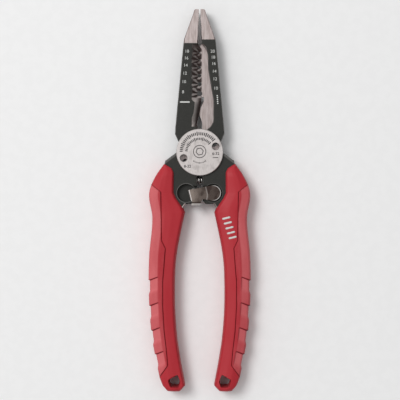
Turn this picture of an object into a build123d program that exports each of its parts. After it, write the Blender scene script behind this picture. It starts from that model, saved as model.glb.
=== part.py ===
from build123d import *
import math
import os

# Combination wire stripping pliers, lying flat on their back. Millimetres.
# Frame: +Z is the pivot axis and points out of the front face, z = 0 is the surface the tool lies
# on, +Y runs from the pivot to the nose, +X to the side of the front half's handle.

# ---- driving sizes -------------------------------------------------------------------------
GRIP_THICK = 15.0          # grips, front to back
STEEL_THICK = 9.0          # forged halves, front to back
LAP_GAP = 0.2              # running gap between the two lapped faces
NOSE_Y = 86.2              # nose tip, from the pivot
NOSE_BACK_Y = 65.5         # where the ground nose meets the coated jaw
NOSE_TAPER_Y = 74.0        # gripping faces begin to close up here
NOSE_CLOSE_Y = 80.0        # and are parallel from here to the tip
GRIP_END_Y = -143.4        # ends of the handles
TANG_END_Y = -107.5        # steel ends inside the grips

BOSS_R = 13.4              # round lap around the pivot
BOSS_CLEARANCE = 0.3       # between a boss and the other half's shoulders
DISC_R = 14.0
DISC_OVERHANG = 0.6        # disc's rim, past the edge that the shoulders keep clear of
DISC_THICK = 1.9
BOLT_R = 5.0
PIVOT_CLEARANCE = 0.05     # running fit of the rear half on the bolt
NUT_R = 7.4
SPANNER_HOLE_R = 0.55
SPANNER_HOLE_RADIUS = 6.0    # from the pivot
SPANNER_HOLE_DEPTH = 1.2
WASHER_THICK = 0.6

TIP_GAP = 1.0              # between the gripping faces at rest
BACK_GAP = 2.1             # same, at the back of the nose
BLADE_X = 1.1              # front stripping blade passes the centre line by this much
BEVEL_DEPTH = 4.0          # height of the blade bevels
STRIP_BEVEL = 5.7          # width of the stripping bevel
CUTTER_BEVEL = 3.6         # width of the cutter bevel
STRIP_TOP_Y = 65.0
STRIP_END_Y = 33.4
TIP_THICK = 5.6            # nose thickness at its end
TOOTH_PITCH = 1.25
TOOTH_DEPTH = 0.35
TOOTH_RUNOUT = 0.3         # each tooth's cutter reaches past the gripping face
EDGE_CHAMFER = 0.5
DISC_CHAMFER = 0.3

# Stripping notches: position along the jaw and bare wire radius, from 18 to 8 gauge.
NOTCHES = [(60.4, 0.51), (55.8, 0.65), (51.4, 0.81), (46.5, 1.03), (41.4, 1.30), (35.7, 1.63)]
NOTCH_CONE_SLOPE = 1.05    # radius gained per millimetre of height

SHEAR_RADIUS = 10.2        # screw shearing holes, from the pivot
SHEAR_HOLE_R = 2.1
SHEAR_ANGLES = (20.0, 200.0)
SHEAR_ALIGN = 14.0         # handle angle at which the holes of both halves line up

SLOT_X = 1.8               # half the slot between the tangs
SPRING_Y = -16.6
SPRING_R = 2.2             # outside radius of the coil
SPRING_WIRE_R = 0.45
SPRING_SEAT_X = 5.8        # blind end of each spring bore
SPRING_CLEARANCE = 0.25
SPRING_TURNS = 7

LOCK_X = 8.1               # lock lever pivot
LOCK_Y = -24.4
LOCK_END_R = 4.6
LOCK_PLATE_THICK = 1.6
LOCK_POCKET_R = 5.6
LOCK_WASHER_THICK = 0.5
LOCK_RIVET_R = 2.0
LOCK_RIVET_HEAD_R = 3.1
LOCK_RIVET_HEAD_THICK = 0.6
LOCK_CLEARANCE = 0.05
FLANGE_X = -7.0            # outer face of the lever's turned-down flange
FLANGE_THICK = 1.2
FLANGE_TOP_Y = -22.9
FLANGE_FLOOR_GAP = 0.3     # under the flange and over the catch pin
BEND_R = 0.9               # outer bend of the flange
CATCH_POCKET_Z = 8.0       # floor of the catch pocket
CATCH_R = 1.2
CATCH_GAP = 0.75           # flange to catch pin at rest
CATCH_OVERLAP = 1.25       # how far the flange covers the pin along Y
THUMB_TAB_HEIGHT = 2.6

DOWEL_R = 1.0
DOWEL_RADIUS = 10.2
DOWEL_ANGLES = (110.0, 290.0)
DOWEL_DEPTH = 1.5           # in the front half
DOWEL_PROUD = 0.5           # above the front half, in the disc
DOWEL_HOLE = 1.0            # depth of its hole in the disc

SKIN = 1.9                 # soft skin over the hard grip
GRIP_CHAMFER = 1.6
LANYARD_CORNER_R = 0.9

# ---- levels and derived places ---------------------------------------------------------------
MID_Z = GRIP_THICK / 2
STEEL_TOP = MID_Z + STEEL_THICK / 2
STEEL_BOTTOM = MID_Z - STEEL_THICK / 2
FRONT_LAP_Z = MID_Z + LAP_GAP / 2
# a half's shoulders clear the other half's boss and the disc above it, whichever is wider
SHOULDER_R = max(BOSS_R, DISC_R - DISC_OVERHANG) + BOSS_CLEARANCE
LOCK_PLATE_Z = STEEL_TOP - LOCK_PLATE_THICK
LOCK_POCKET_Z = LOCK_PLATE_Z - LOCK_WASHER_THICK
CATCH_X = FLANGE_X + FLANGE_THICK + CATCH_GAP + CATCH_R
CATCH_Y = FLANGE_TOP_Y + CATCH_R - CATCH_OVERLAP

# ---- outlines, drawn for the front half: jaw on the left, handle on the right -----------------
JAW_OUTER = [(-2.6, NOSE_Y), (-3.25, NOSE_Y - 0.65), (-3.95, NOSE_Y - 3.1),
             (-9.3, NOSE_BACK_Y + 2.7), (-9.8, NOSE_BACK_Y - 0.6), (-14.6, 15.0), (-14.8, 11.0),
             (-13.0, 7.0), (-6.0, 0.0)]
GRIP_FACE = [(-BACK_GAP / 2, NOSE_BACK_Y - 0.1), (-BACK_GAP / 2, NOSE_TAPER_Y),
             (-TIP_GAP / 2, NOSE_CLOSE_Y), (-TIP_GAP / 2, NOSE_Y)]
# edge of the lower layer of a jaw, which stands back from the other half's blade
RECESS_FOOT = [(-4.0, 13.0), (-5.1, 14.3)]
RECESS_ARC = [(-5.1, 14.3), (-7.5, 17.0), (-8.3, 21.0)]
RECESS_SIDE = [(-8.3, 21.0), (-8.3, 31.4), (-5.1, 50.0), (-4.9, 56.5)]
RECESS_HEAD = [(-4.9, 56.5), (-4.1, 61.5), GRIP_FACE[0]]
FRONT_CUTTER = [(-1.5, 15.5), (-1.3, 19.7), (0.1, 24.5), (0.5, 28.4), (BLADE_X, 31.9)]
REAR_CUTTER = [(-1.5, 15.7), (-1.0, 19.7), (0.1, 24.0), (-0.7, 27.0), (-2.7, 32.0)]
TANG_BOTTOM = -31.0
TANG = [(12.5, 1.2), (15.2, -1.0), (20.7, -5.1), (21.5, -9.0), (24.0, -16.0), (25.3, -23.0),
        (23.4, -38.0), (22.4, -58.0), (23.2, -75.0), (22.5, -95.0), (20.8, TANG_END_Y),
        (17.2, TANG_END_Y), (17.3, -90.0), (17.0, -68.0), (15.5, -56.0), (13.6, -46.0),
        (11.5, -36.5), (9.9, -33.2), (8.6, TANG_BOTTOM), (SLOT_X + 1.8, TANG_BOTTOM),
        (SLOT_X, TANG_BOTTOM + 2.0), (SLOT_X, -6.0)]

LEVER_OUTLINE = [(LOCK_X, LOCK_Y + LOCK_END_R), (LOCK_X - 3.4, -20.3), (2.6, -20.9),
                 (FLANGE_X, -22.6), (FLANGE_X + 1.4, -28.3), (-4.6, -29.4), (1.1, -29.4),
                 (1.6, -28.0), (LOCK_X, LOCK_Y - LOCK_END_R)]
FLANGE_OUTLINE = [(FLANGE_X, FLANGE_TOP_Y), (FLANGE_X + FLANGE_THICK, FLANGE_TOP_Y),
                  (FLANGE_X + FLANGE_THICK + 1.4, -28.3), (FLANGE_X + 1.4, -28.3)]
TAB_OUTLINE = [(-4.6, -29.4), (-4.9, -31.8), (0.6, -31.8), (0.9, -29.4)]
TAB_WALL = [(-4.8, -30.6), (-4.9, -31.8), (0.6, -31.8), (0.75, -30.6)]

GRIP_OUTER = [(21.3, -6.8), (25.6, -13.0), (30.1, -22.6), (28.5, -39.5), (30.4, -62.0),
              (30.6, -86.0), (28.6, -112.0), (24.2, -135.2)]
GRIP_END = [(24.2, -135.2), (22.3, -140.0), (19.4, GRIP_END_Y), (11.7, GRIP_END_Y), (8.7, -140.0)]
GRIP_INNER = [(8.7, -140.0), (10.3, -132.0), (13.5, -112.0), (15.0, -86.0), (13.8, -61.0),
              (11.1, -46.6), (8.8, -36.0)]
GRIP_MOUTH = [(8.8, -36.0), (10.2, -32.9), (13.9, -27.6), (15.4, -24.4), (15.4, -12.0),
              (16.6, -9.5), (21.3, -6.8)]
GRIP_SPLIT = [(30.6, -18.0), (28.9, -19.2), (22.8, -23.8), (22.5, -52.8), (20.2, -57.5),
              (20.9, -67.0), (21.8, -78.0), (21.8, -92.0), (20.9, -107.0), (19.4, -120.0),
              (18.8, -127.6), (23.8, -134.9), (25.5, -137.4)]
STRIP_BACK = [(34.0, -137.4), (34.0, -18.0)]
TONGUE_OUTER = [(x - SKIN - 0.6, y) for x, y in GRIP_OUTER[2:7]]
TONGUE_ROOT_X = 20.0
LANYARD = [(13.3, -133.2), (11.6, -137.3), (12.8, -140.8), (17.4, -140.6), (18.9, -136.6)]


def polar(radius, angle):
    """Point at an angle in degrees, counter-clockwise from +X."""
    return (radius * math.cos(math.radians(angle)), radius * math.sin(math.radians(angle)))


def plier_half(cutter, shear_angles, bore_r, has_relief):
    """One forged half with its jaw at -X and its tang at +X, lapped on the front side."""
    with BuildPart() as half:
        with BuildSketch(Plane.XY.offset(FRONT_LAP_Z)):
            Circle(BOSS_R)
            with BuildLine():
                Polyline(*GRIP_FACE, *JAW_OUTER, (-1.5, 6.0), cutter[0])
                Spline(*cutter)
                if has_relief:
                    Polyline(cutter[-1], (-2.7, STRIP_END_Y), (BLADE_X, STRIP_END_Y + 0.6),
                             (BLADE_X, STRIP_TOP_Y - 2.5), GRIP_FACE[0])
                else:
                    Polyline(cutter[-1], (BLADE_X, STRIP_TOP_Y - 2.5), GRIP_FACE[0])
            make_face()
            with BuildLine():
                Polyline(*TANG, close=True)
            make_face()
        extrude(amount=STEEL_TOP - FRONT_LAP_Z)
        with BuildSketch(Plane.XY.offset(STEEL_BOTTOM)):
            with BuildLine():
                Polyline(*GRIP_FACE, *JAW_OUTER, *RECESS_FOOT)
                ThreePointArc(*RECESS_ARC)
                Polyline(*RECESS_SIDE)
                ThreePointArc(*RECESS_HEAD)
            make_face()
            with BuildLine():
                Polyline(*TANG, close=True)
            make_face()
            Circle(SHOULDER_R, mode=Mode.SUBTRACT)
        extrude(amount=FRONT_LAP_Z - STEEL_BOTTOM)
        chamfer(half.edges().group_by(Axis.Z)[0], EDGE_CHAMFER)
        chamfer(half.edges().group_by(Axis.Z)[-1], EDGE_CHAMFER)

        # nose tapered in thickness
        with BuildSketch(Plane.YZ.offset(-20.0)):
            for side in (-1, 1):
                with BuildLine():
                    Polyline((NOSE_BACK_Y + 1.0, MID_Z + side * STEEL_THICK / 2),
                             (NOSE_Y + 1.0, MID_Z + side * TIP_THICK / 2),
                             (NOSE_Y + 1.0, MID_Z + side * STEEL_THICK),
                             (NOSE_BACK_Y + 1.0, MID_Z + side * STEEL_THICK), close=True)
                make_face()
        extrude(amount=40.0, mode=Mode.SUBTRACT)

        # serrated gripping face
        tooth_count = int((NOSE_Y - NOSE_BACK_Y - 2.0) / TOOTH_PITCH)
        with BuildSketch(Plane.XY.offset(STEEL_BOTTOM)):
            for index in range(tooth_count):
                tooth_y = NOSE_Y - 1.4 - index * TOOTH_PITCH
                face_x = -TIP_GAP / 2
                if tooth_y < NOSE_CLOSE_Y:
                    taper = (NOSE_CLOSE_Y - tooth_y) / (NOSE_CLOSE_Y - NOSE_TAPER_Y)
                    face_x -= (BACK_GAP - TIP_GAP) / 2 * min(1.0, taper)
                with BuildLine():
                    Polyline((face_x - TOOTH_DEPTH, tooth_y),
                             (face_x + TOOTH_RUNOUT, tooth_y + TOOTH_PITCH / 2),
                             (face_x + TOOTH_RUNOUT, tooth_y - TOOTH_PITCH / 2), close=True)
                make_face()
        extrude(amount=STEEL_THICK, mode=Mode.SUBTRACT)

        # stripping bevel and the coned notches
        with BuildSketch(Plane.XZ.offset(-STRIP_TOP_Y)):
            with BuildLine():
                Polyline((BLADE_X - STRIP_BEVEL, STEEL_TOP), (BLADE_X, STEEL_TOP - BEVEL_DEPTH),
                         (BLADE_X + 2.0, STEEL_TOP - BEVEL_DEPTH), (BLADE_X + 2.0, STEEL_TOP + 1.0),
                         (BLADE_X - STRIP_BEVEL, STEEL_TOP + 1.0), close=True)
            make_face()
        extrude(amount=STRIP_TOP_Y - STRIP_END_Y, mode=Mode.SUBTRACT)
        cone_height = STEEL_TOP - FRONT_LAP_Z
        for notch_y, wire_r in NOTCHES:
            cone_r = wire_r + cone_height * NOTCH_CONE_SLOPE
            with Locations((0, notch_y, FRONT_LAP_Z + cone_height / 2)):
                Cone(wire_r, cone_r, cone_height, mode=Mode.SUBTRACT)
            with Locations((BLADE_X / 2, notch_y, MID_Z)):
                Box(BLADE_X + 0.2, 2 * wire_r, STEEL_THICK, mode=Mode.SUBTRACT)
            with Locations((0, notch_y, MID_Z)):
                Cylinder(wire_r, STEEL_THICK, mode=Mode.SUBTRACT)

        # cutter bevel, on the curve of the cutting edge
        with BuildSketch(Plane.XY.offset(STEEL_TOP)):
            with BuildLine():
                Spline(*[(x - CUTTER_BEVEL, y) for x, y in cutter])
                Polyline((cutter[-1][0] - CUTTER_BEVEL, cutter[-1][1]), (6.0, STRIP_END_Y),
                         (6.0, 15.0), (cutter[0][0] - CUTTER_BEVEL, cutter[0][1]))
            make_face()
        extrude(amount=-BEVEL_DEPTH, taper=math.degrees(math.atan(CUTTER_BEVEL / BEVEL_DEPTH)),
                mode=Mode.SUBTRACT)

        # pivot bore, screw shearing holes and the spring bore
        with Locations((0, 0, MID_Z)):
            Cylinder(bore_r, STEEL_THICK, mode=Mode.SUBTRACT)
        for angle in shear_angles:
            with Locations((*polar(SHEAR_RADIUS, angle), MID_Z)):
                Cylinder(SHEAR_HOLE_R, STEEL_THICK, mode=Mode.SUBTRACT)
        with BuildSketch(Plane.YZ.offset(SLOT_X - 1.0)):
            with Locations((SPRING_Y, MID_Z)):
                Circle(SPRING_R + SPRING_CLEARANCE)
        extrude(amount=SPRING_SEAT_X - SLOT_X + 1.0, mode=Mode.SUBTRACT)
    return half.part


os.makedirs("parts", exist_ok=True)

# ---- the two forged halves -----------------------------------------------------------------
with BuildPart() as front_half:
    add(plier_half(FRONT_CUTTER, SHEAR_ANGLES, BOLT_R, False))
    # pocket of the lock lever, open to the slot and to the bottom edge
    with BuildSketch(Plane.XY.offset(LOCK_POCKET_Z)):
        with Locations((LOCK_X, LOCK_Y)):
            Circle(LOCK_POCKET_R)
        with BuildLine():
            Polyline((0, -20.0), (LOCK_X - 3.6, -20.0), (LOCK_X, LOCK_Y),
                     (LOCK_X, TANG_BOTTOM - 1.0), (0, TANG_BOTTOM - 1.0), close=True)
        make_face()
    extrude(amount=STEEL_TOP, mode=Mode.SUBTRACT)
    with Locations((LOCK_X, LOCK_Y, MID_Z)):
        Cylinder(LOCK_RIVET_R, STEEL_THICK, mode=Mode.SUBTRACT)
    with Locations((LOCK_X, LOCK_Y, STEEL_BOTTOM)):
        Cylinder(LOCK_RIVET_HEAD_R, 2 * LOCK_RIVET_HEAD_THICK, mode=Mode.SUBTRACT)
    for angle in DOWEL_ANGLES:
        with Locations((*polar(DOWEL_RADIUS, angle), STEEL_TOP)):
            Cylinder(DOWEL_R, 2 * DOWEL_DEPTH, mode=Mode.SUBTRACT)
front_half.part.label = "front_half"
export_step(front_half.part, "parts/front_half.step")

flip_axis = Axis((0, 0, MID_Z), (0, 1, 0))
rear_angles = [180.0 - angle - SHEAR_ALIGN for angle in SHEAR_ANGLES]
with BuildPart() as rear_half:
    add(plier_half(REAR_CUTTER, rear_angles, BOLT_R + PIVOT_CLEARANCE, True).rotate(flip_axis, 180))
    # pocket that the lock lever's flange drops into, open at the bottom edge
    with BuildSketch(Plane.XY.offset(CATCH_POCKET_Z)):
        with Locations((-LOCK_X, LOCK_Y)):
            Circle(LOCK_POCKET_R)
        with BuildLine():
            Polyline((0, -20.0), (-LOCK_X + 3.6, -20.0), (-LOCK_X, LOCK_Y), (-LOCK_X - 0.6, -33.6),
                     (0, TANG_BOTTOM - 2.0), close=True)
        make_face()
    extrude(amount=STEEL_TOP, mode=Mode.SUBTRACT)
    with Locations((CATCH_X, CATCH_Y, MID_Z)):
        Cylinder(CATCH_R, STEEL_THICK, mode=Mode.SUBTRACT)
rear_half.part.label = "rear_half"
export_step(rear_half.part, "parts/rear_half.step")

# ---- pivot ---------------------------------------------------------------------------------
with BuildPart() as pivot_bolt:
    with BuildSketch(Plane.XY.offset(WASHER_THICK)):
        Circle(BOLT_R)
    extrude(amount=STEEL_TOP + DISC_THICK / 2 - WASHER_THICK)
pivot_bolt.part.label = "pivot_bolt"
export_step(pivot_bolt.part, "parts/pivot_bolt.step")

with BuildPart() as pivot_nut:
    with BuildSketch():
        Circle(NUT_R)
    extrude(amount=STEEL_BOTTOM - WASHER_THICK - PIVOT_CLEARANCE)
    chamfer(pivot_nut.edges().group_by(Axis.Z)[0], EDGE_CHAMFER)
    add(pivot_bolt.part, mode=Mode.SUBTRACT)
    with PolarLocations(SPANNER_HOLE_RADIUS, 2):
        Cylinder(SPANNER_HOLE_R, 2 * SPANNER_HOLE_DEPTH, mode=Mode.SUBTRACT)
pivot_nut.part.label = "pivot_nut"
export_step(pivot_nut.part, "parts/pivot_nut.step")

with BuildPart() as nut_washer:
    with BuildSketch(Plane.XY.offset(STEEL_BOTTOM - WASHER_THICK - PIVOT_CLEARANCE)):
        Circle(NUT_R + 0.4)
        Circle(BOLT_R, mode=Mode.SUBTRACT)
    extrude(amount=WASHER_THICK)
nut_washer.part.label = "nut_washer"
export_step(nut_washer.part, "parts/nut_washer.step")

with BuildPart() as cover_disc:
    with BuildSketch(Plane.XY.offset(STEEL_TOP)):
        Circle(DISC_R)
        for angle in SHEAR_ANGLES:
            with Locations(polar(SHEAR_RADIUS, angle)):
                Circle(SHEAR_HOLE_R, mode=Mode.SUBTRACT)
    extrude(amount=DISC_THICK)
    chamfer(cover_disc.edges().group_by(Axis.Z)[-1], DISC_CHAMFER)
    add(pivot_bolt.part, mode=Mode.SUBTRACT)
    for angle in DOWEL_ANGLES:
        with Locations((*polar(DOWEL_RADIUS, angle), STEEL_TOP)):
            Cylinder(DOWEL_R, 2 * DOWEL_HOLE, mode=Mode.SUBTRACT)
cover_disc.part.label = "cover_disc"
export_step(cover_disc.part, "parts/cover_disc.step")

with BuildPart() as disc_dowels:
    for angle in DOWEL_ANGLES:
        with Locations((*polar(DOWEL_RADIUS, angle), STEEL_TOP - DOWEL_DEPTH)):
            Cylinder(DOWEL_R, DOWEL_DEPTH + DOWEL_PROUD, align=(Align.CENTER, Align.CENTER, Align.MIN))
disc_dowels.part.label = "disc_dowels"
export_step(disc_dowels.part, "parts/disc_dowels.step")

# ---- return spring, in a blind bore of each tang --------------------------------------------
spring_end_x = SPRING_SEAT_X - SPRING_WIRE_R
spring_pitch = 2 * spring_end_x / SPRING_TURNS
with BuildPart() as return_spring:
    with BuildLine() as coil:
        for turn in range(SPRING_TURNS):
            Helix(pitch=spring_pitch, height=spring_pitch, radius=SPRING_R - SPRING_WIRE_R,
                  center=(turn * spring_pitch - spring_end_x, SPRING_Y, MID_Z), direction=(1, 0, 0))
    with BuildSketch(Plane(origin=coil.line @ 0, z_dir=coil.line % 0)):
        Circle(SPRING_WIRE_R)
    sweep(path=coil.line, is_frenet=True)
return_spring.part.label = "return_spring"
export_step(return_spring.part, "parts/return_spring.step")

# ---- handle lock ---------------------------------------------------------------------------
with BuildPart() as lock_lever:
    with BuildSketch(Plane.XY.offset(LOCK_PLATE_Z)):
        with Locations((LOCK_X, LOCK_Y)):
            Circle(LOCK_END_R)
        with BuildLine():
            Polyline(*LEVER_OUTLINE, close=True)
        make_face()
    extrude(amount=LOCK_PLATE_THICK)
    # flange turned down behind the catch pin
    with BuildSketch(Plane.XY.offset(CATCH_POCKET_Z + FLANGE_FLOOR_GAP)):
        with BuildLine():
            Polyline(*FLANGE_OUTLINE, close=True)
        make_face()
    extrude(amount=LOCK_PLATE_Z - CATCH_POCKET_Z - FLANGE_FLOOR_GAP)
    bend = lock_lever.edges().group_by(Axis.Z)[-1].sort_by(Axis.X)[0]
    fillet(bend, BEND_R)
    # thumb tab turned up along the lower edge
    with BuildSketch(Plane.XY.offset(LOCK_PLATE_Z)):
        with BuildLine():
            Polyline(*TAB_OUTLINE, close=True)
        make_face()
    extrude(amount=LOCK_PLATE_THICK)
    with BuildSketch(Plane.XY.offset(LOCK_PLATE_Z)):
        with BuildLine():
            Polyline(*TAB_WALL, close=True)
        make_face()
    extrude(amount=LOCK_PLATE_THICK + THUMB_TAB_HEIGHT)
    with Locations((LOCK_X, LOCK_Y, LOCK_PLATE_Z)):
        Cylinder(LOCK_RIVET_R + LOCK_CLEARANCE, 2 * LOCK_PLATE_THICK, mode=Mode.SUBTRACT)
lock_lever.part.label = "lock_lever"
export_step(lock_lever.part, "parts/lock_lever.step")

with BuildPart() as lock_rivet:
    with BuildSketch(Plane.XY.offset(STEEL_BOTTOM)):
        with Locations((LOCK_X, LOCK_Y)):
            Circle(LOCK_RIVET_HEAD_R)
    extrude(amount=LOCK_RIVET_HEAD_THICK)
    with BuildSketch(Plane.XY.offset(STEEL_BOTTOM)):
        with Locations((LOCK_X, LOCK_Y)):
            Circle(LOCK_RIVET_R)
    extrude(amount=STEEL_TOP - STEEL_BOTTOM)
lock_rivet.part.label = "lock_rivet"
export_step(lock_rivet.part, "parts/lock_rivet.step")

with BuildPart() as lock_washer:
    with BuildSketch(Plane.XY.offset(LOCK_POCKET_Z)):
        with Locations((LOCK_X, LOCK_Y)):
            Circle(LOCK_END_R - 0.8)
            Circle(LOCK_RIVET_R, mode=Mode.SUBTRACT)
    extrude(amount=LOCK_WASHER_THICK - LOCK_CLEARANCE)
lock_washer.part.label = "lock_washer"
export_step(lock_washer.part, "parts/lock_washer.step")

with BuildPart() as catch_pin:
    with BuildSketch(Plane.XY.offset(STEEL_BOTTOM)):
        with Locations((CATCH_X, CATCH_Y)):
            Circle(CATCH_R)
    extrude(amount=LOCK_PLATE_Z - FLANGE_FLOOR_GAP - STEEL_BOTTOM)
catch_pin.part.label = "catch_pin"
export_step(catch_pin.part, "parts/catch_pin.step")


# ---- grips, drawn on the right --------------------------------------------------------------
with BuildSketch() as grip_outline:
    with BuildLine():
        Spline(*GRIP_OUTER)
        Polyline(*GRIP_END)
        Spline(*GRIP_INNER)
        Polyline(*GRIP_MOUTH)
    make_face()

with BuildSketch() as outer_region:
    with BuildLine():
        Polyline(*GRIP_SPLIT, *STRIP_BACK, close=True)
    make_face()

with BuildSketch() as lanyard_hole:
    with BuildLine():
        Polyline(*LANYARD, close=True)
    make_face()
    fillet(lanyard_hole.vertices(), LANYARD_CORNER_R)

with BuildPart() as grip_body:
    add(grip_outline.sketch)
    extrude(amount=GRIP_THICK)
    chamfer(grip_body.edges().group_by(Axis.Z)[0], GRIP_CHAMFER)
    chamfer(grip_body.edges().group_by(Axis.Z)[-1], GRIP_CHAMFER)

with BuildPart() as strip_region:
    add(outer_region.sketch)
    extrude(amount=GRIP_THICK)

# tongue of the hard grip, under the soft strip
with BuildPart() as tongue:
    with BuildSketch(Plane.XY.offset(SKIN)):
        with BuildLine():
            Spline(*TONGUE_OUTER)
            Polyline(TONGUE_OUTER[-1], (TONGUE_ROOT_X, TONGUE_OUTER[-1][1]),
                     (TONGUE_ROOT_X, TONGUE_OUTER[0][1]), TONGUE_OUTER[0])
        make_face()
    extrude(amount=GRIP_THICK - 2 * SKIN)

with BuildPart() as core_blank:
    add(grip_body.part)
    add(strip_region.part, mode=Mode.SUBTRACT)
    add(tongue.part)
    add(lanyard_hole.sketch)
    extrude(amount=GRIP_THICK, mode=Mode.SUBTRACT)

with BuildPart() as strip_blank:
    add(grip_body.part)
    add(strip_region.part, mode=Mode.INTERSECT)
    add(tongue.part, mode=Mode.SUBTRACT)

with BuildPart() as right_grip_core:
    add(core_blank.part)
    add(front_half.part, mode=Mode.SUBTRACT)
right_grip_core.part.label = "right_grip_core"
export_step(right_grip_core.part, "parts/right_grip_core.step")

with BuildPart() as right_grip_strip:
    add(strip_blank.part)
    add(front_half.part, mode=Mode.SUBTRACT)
right_grip_strip.part.label = "right_grip_strip"
export_step(right_grip_strip.part, "parts/right_grip_strip.step")

with BuildPart() as left_grip_core:
    add(mirror(core_blank.part, about=Plane.YZ, mode=Mode.PRIVATE))
    add(rear_half.part, mode=Mode.SUBTRACT)
left_grip_core.part.label = "left_grip_core"
export_step(left_grip_core.part, "parts/left_grip_core.step")

with BuildPart() as left_grip_strip:
    add(mirror(strip_blank.part, about=Plane.YZ, mode=Mode.PRIVATE))
    add(rear_half.part, mode=Mode.SUBTRACT)
left_grip_strip.part.label = "left_grip_strip"
export_step(left_grip_strip.part, "parts/left_grip_strip.step")
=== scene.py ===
"""Wire stripping pliers: moulded grips, printed scales, spring, finishes and studio light.

The forged halves, disc, nut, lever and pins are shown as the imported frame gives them, each with
its own finish. The grips and the return spring are modelled here, as surfaces of two parameters.
"""
import logging
import math
from dataclasses import dataclass, field
from enum import Enum
from typing import Any, Sequence

import bmesh
import bpy
import numpy as np
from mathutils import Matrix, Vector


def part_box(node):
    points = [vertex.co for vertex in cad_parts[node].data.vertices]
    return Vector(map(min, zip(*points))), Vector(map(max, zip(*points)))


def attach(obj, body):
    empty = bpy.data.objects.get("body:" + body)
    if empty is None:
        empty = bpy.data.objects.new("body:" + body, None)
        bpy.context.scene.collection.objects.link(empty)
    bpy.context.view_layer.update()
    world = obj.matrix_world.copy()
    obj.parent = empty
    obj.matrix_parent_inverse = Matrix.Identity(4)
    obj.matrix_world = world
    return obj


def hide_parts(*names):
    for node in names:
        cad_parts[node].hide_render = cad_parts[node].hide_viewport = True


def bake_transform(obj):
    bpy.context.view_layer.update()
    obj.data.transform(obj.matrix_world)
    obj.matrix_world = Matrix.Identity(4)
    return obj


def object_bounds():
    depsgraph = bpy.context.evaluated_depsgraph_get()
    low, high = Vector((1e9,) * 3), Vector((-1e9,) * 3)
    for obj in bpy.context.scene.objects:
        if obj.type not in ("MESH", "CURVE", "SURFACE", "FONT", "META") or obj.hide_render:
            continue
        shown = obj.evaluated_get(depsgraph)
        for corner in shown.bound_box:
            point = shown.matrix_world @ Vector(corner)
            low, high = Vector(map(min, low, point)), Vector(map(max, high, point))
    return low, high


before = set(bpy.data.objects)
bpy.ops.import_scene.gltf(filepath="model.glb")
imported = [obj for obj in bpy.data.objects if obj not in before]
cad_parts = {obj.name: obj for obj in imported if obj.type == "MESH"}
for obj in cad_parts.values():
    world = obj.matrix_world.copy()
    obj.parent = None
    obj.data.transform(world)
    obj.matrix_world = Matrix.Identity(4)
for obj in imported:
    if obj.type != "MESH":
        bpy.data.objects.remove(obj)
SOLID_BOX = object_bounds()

LOG = logging.getLogger("pliers")
MM = 0.001
SHADING_TONE = "shading_tone"    # attribute with the painted light and shade of each point of a soft strip
Pair = tuple[float, float]
Triple = tuple[float, float, float]
Colour = Triple
Array = np.ndarray
Piece = bpy.types.Object
Material = bpy.types.Material
Socket = bpy.types.NodeSocket


class Side(Enum):
    """The side a grip is on, seen from the front, as the sign of its X."""

    LEFT = -1
    RIGHT = 1


class Body(Enum):
    """The bodies of the frame that pieces made here move with."""

    REAR = "rear"
    FRONT = "front"


# ---- Meshes ----
def linked(name: str, data: bpy.types.ID) -> Piece:
    """Makes an object of some data at the origin and puts it in the scene."""
    made = bpy.data.objects.new(name, data)
    bpy.context.scene.collection.objects.link(made)
    return made


def dress(piece: Piece, finish: Material) -> None:
    """Gives a piece one finish, in place of any it has."""
    piece.data.materials.clear()
    piece.data.materials.append(finish)


def mesh_object(name: str, points: Array, faces: Sequence[Sequence[int]], smooth: bool = True,
                shading_tone: Array | None = None) -> Piece:
    """Makes an object at the origin from points in millimetres.

    Args:
        name: Name of the piece.
        points: Array of shape (count, 3), in millimetres.
        faces: Corner numbers of each face.
        smooth: Whether faces are shaded smooth.
        shading_tone: Painted light and shade of each point for its finish: 1 is palest, -1 darkest,
            0 plain.

    Returns:
        The new object, with its normals pointing outwards.
    """
    mesh = bpy.data.meshes.new(name)
    mesh.from_pydata((np.asarray(points, float) * MM).tolist(), [], [list(f) for f in faces])
    if shading_tone is not None:
        mesh.attributes.new(SHADING_TONE, "FLOAT", "POINT").data.foreach_set("value", shading_tone.ravel())
    shell = bmesh.new()
    shell.from_mesh(mesh)
    bmesh.ops.remove_doubles(shell, verts=shell.verts, dist=1e-7)
    bmesh.ops.recalc_face_normals(shell, faces=shell.faces)
    shell.to_mesh(mesh)
    shell.free()
    mesh.polygons.foreach_set("use_smooth", np.full(len(mesh.polygons), smooth))
    return linked(name, mesh)


def tube_faces(rows: int, columns: int) -> list[list[int]]:
    """Faces of a closed tube given as a grid of rows of rings, with a cap on each end.

    Args:
        rows: Number of rings.
        columns: Points in each ring.

    Returns:
        Quads between neighbouring rings, and one polygon for each end.
    """
    row, column = np.meshgrid(np.arange(rows - 1), np.arange(columns), indexing="ij")
    after = (column + 1) % columns
    quads = np.stack([row * columns + column, row * columns + after,
                      (row + 1) * columns + after, (row + 1) * columns + column], axis=-1)
    last = (rows - 1) * columns
    ends = [list(range(columns)), list(range(last, last + columns))]
    return quads.reshape(-1, 4).tolist() + ends


def plate_mesh(name: str, outline: Array, low: float, high: float) -> Piece:
    """Makes a flat plate: an outline in XY carried from one height to another.

    Args:
        name: Name of the piece.
        outline: Array of shape (count, 2), in millimetres.
        low: Height of the lower face, in millimetres.
        high: Height of the upper face, in millimetres.

    Returns:
        The new object.
    """
    count = len(outline)
    rings = [np.column_stack([outline, np.full(count, height)]) for height in (low, high)]
    return mesh_object(name, np.vstack(rings), tube_faces(2, count), smooth=False)


def join_pieces(name: str, pieces: Sequence[Piece]) -> Piece:
    """Joins several meshes at the origin into one piece.

    Args:
        name: Name of the joined piece.
        pieces: Objects to join. They are removed.

    Returns:
        The joined object.
    """
    shell = bmesh.new()
    for piece in pieces:
        shell.from_mesh(piece.data)
        bpy.data.objects.remove(piece)
    mesh = bpy.data.meshes.new(name)
    shell.to_mesh(mesh)
    shell.free()
    return linked(name, mesh)


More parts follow.
